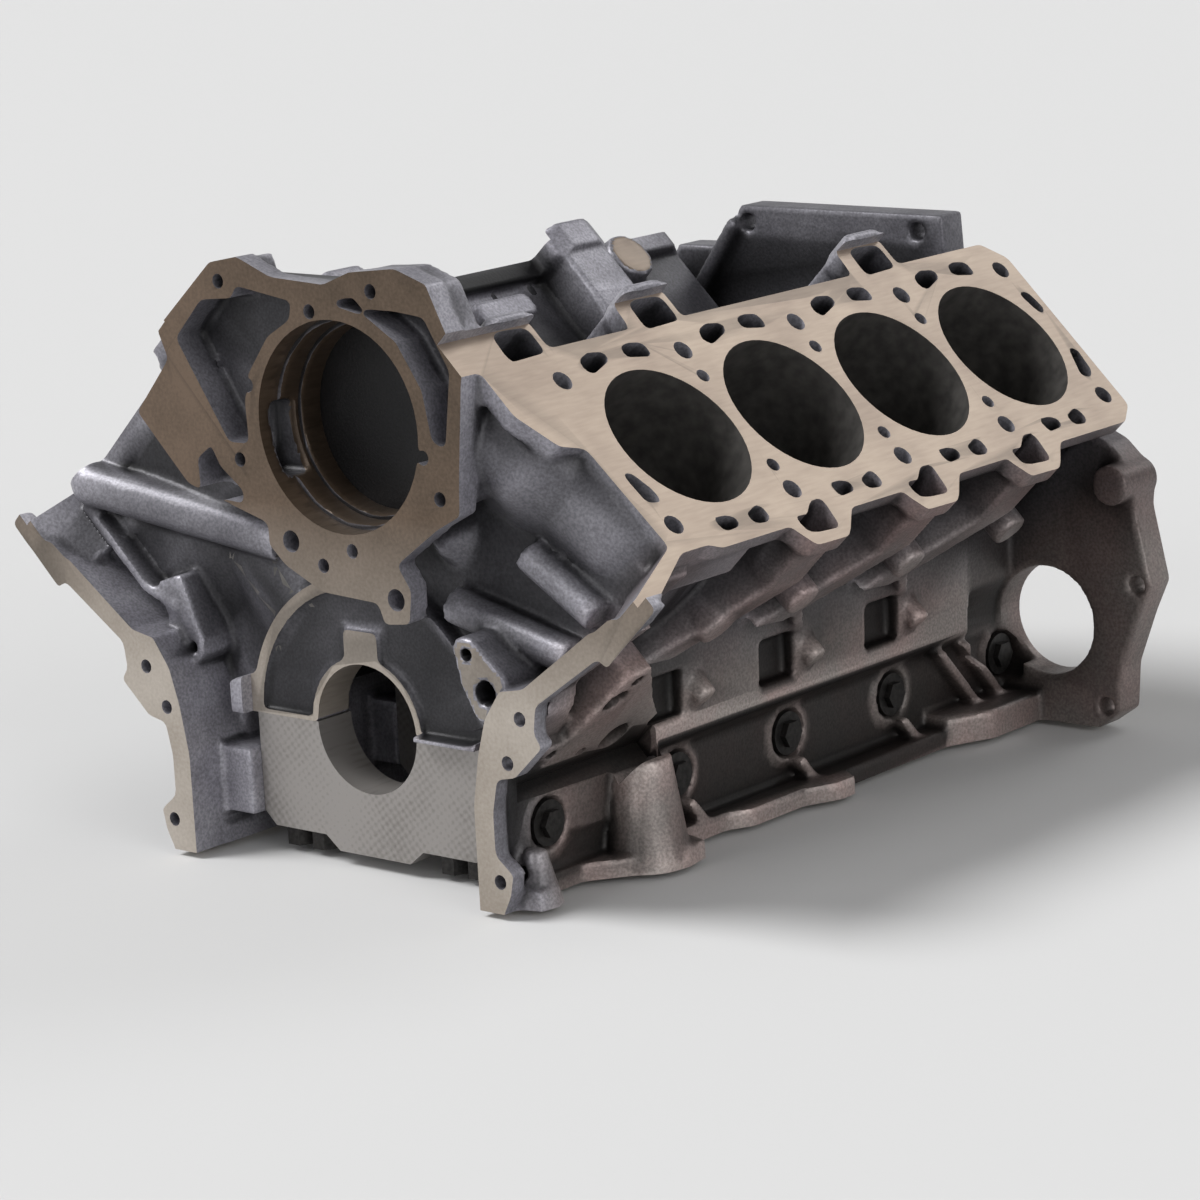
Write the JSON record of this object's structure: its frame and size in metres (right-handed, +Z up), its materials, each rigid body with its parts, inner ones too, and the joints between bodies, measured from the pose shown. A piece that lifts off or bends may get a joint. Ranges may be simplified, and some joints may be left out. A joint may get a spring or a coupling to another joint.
{
  "type": "engine block",
  "caption": "Bare V-type engine block in cast iron with machined decks, bores and front flange, main bearing caps and their bolts.",
  "frame": {"origin": "on the crankshaft axis, at the front face of the front bearing", "axes": "+X to the right seen from the front, +Y from front to rear along the crankshaft axis, +Z up"},
  "size_m": [0.4568, 0.488, 0.3405],
  "materials": {
    "cast_iron": "rough cast with milled faces",
    "cap_iron": "milled",
    "bolt_steel": "black oxide"
  },
  "bodies": {
    "root": {"cylinder_block": "cast_iron", "main_cap_1": "cap_iron", "cap_bolts_1": "bolt_steel", "cross_bolt_right_1": "bolt_steel", "cross_bolt_left_1": "bolt_steel", "main_cap_2": "cap_iron", "cap_bolts_2": "bolt_steel", "cross_bolt_right_2": "bolt_steel", "cross_bolt_left_2": "bolt_steel", "main_cap_3": "cap_iron", "cap_bolts_3": "bolt_steel", "cross_bolt_right_3": "bolt_steel", "cross_bolt_left_3": "bolt_steel", "main_cap_4": "cap_iron", "cap_bolts_4": "bolt_steel", "cross_bolt_right_4": "bolt_steel", "cross_bolt_left_4": "bolt_steel", "main_cap_5": "cap_iron", "cap_bolts_5": "bolt_steel", "cross_bolt_right_5": "bolt_steel", "cross_bolt_left_5": "bolt_steel"}
  },
  "joints": []
}
